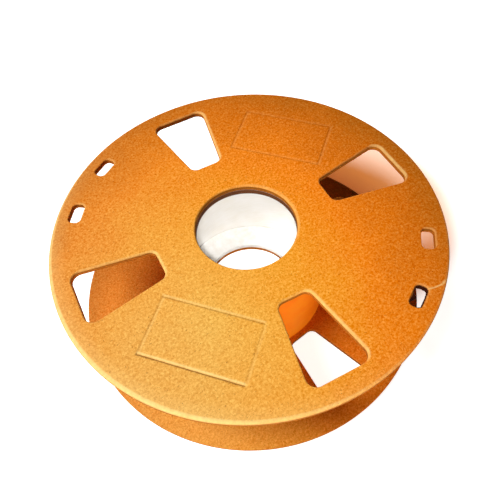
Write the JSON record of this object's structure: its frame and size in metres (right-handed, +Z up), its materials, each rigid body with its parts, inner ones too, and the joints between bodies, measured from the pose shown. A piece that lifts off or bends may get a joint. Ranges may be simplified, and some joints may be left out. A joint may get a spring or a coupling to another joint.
{
  "type": "cardboard spool",
  "caption": "Round cardboard filament spool with windowed flanges on a wound paper core, with a central bore, lying on one flange.",
  "frame": {"origin": "on the spool's axis, at the floor under the lower flange", "axes": "+Z up along the spool's axis; +X and +Y through the middles of two windows"},
  "size_m": [0.2, 0.2, 0.06],
  "materials": {
    "flange_board": "matte",
    "core_paper": "matte",
    "disc_board": "matte"
  },
  "bodies": {
    "root": {"upper_flange": "flange_board", "lower_flange": "flange_board", "core_tube": "core_paper", "upper_centring_disc": "disc_board", "lower_centring_disc": "disc_board"}
  },
  "joints": []
}
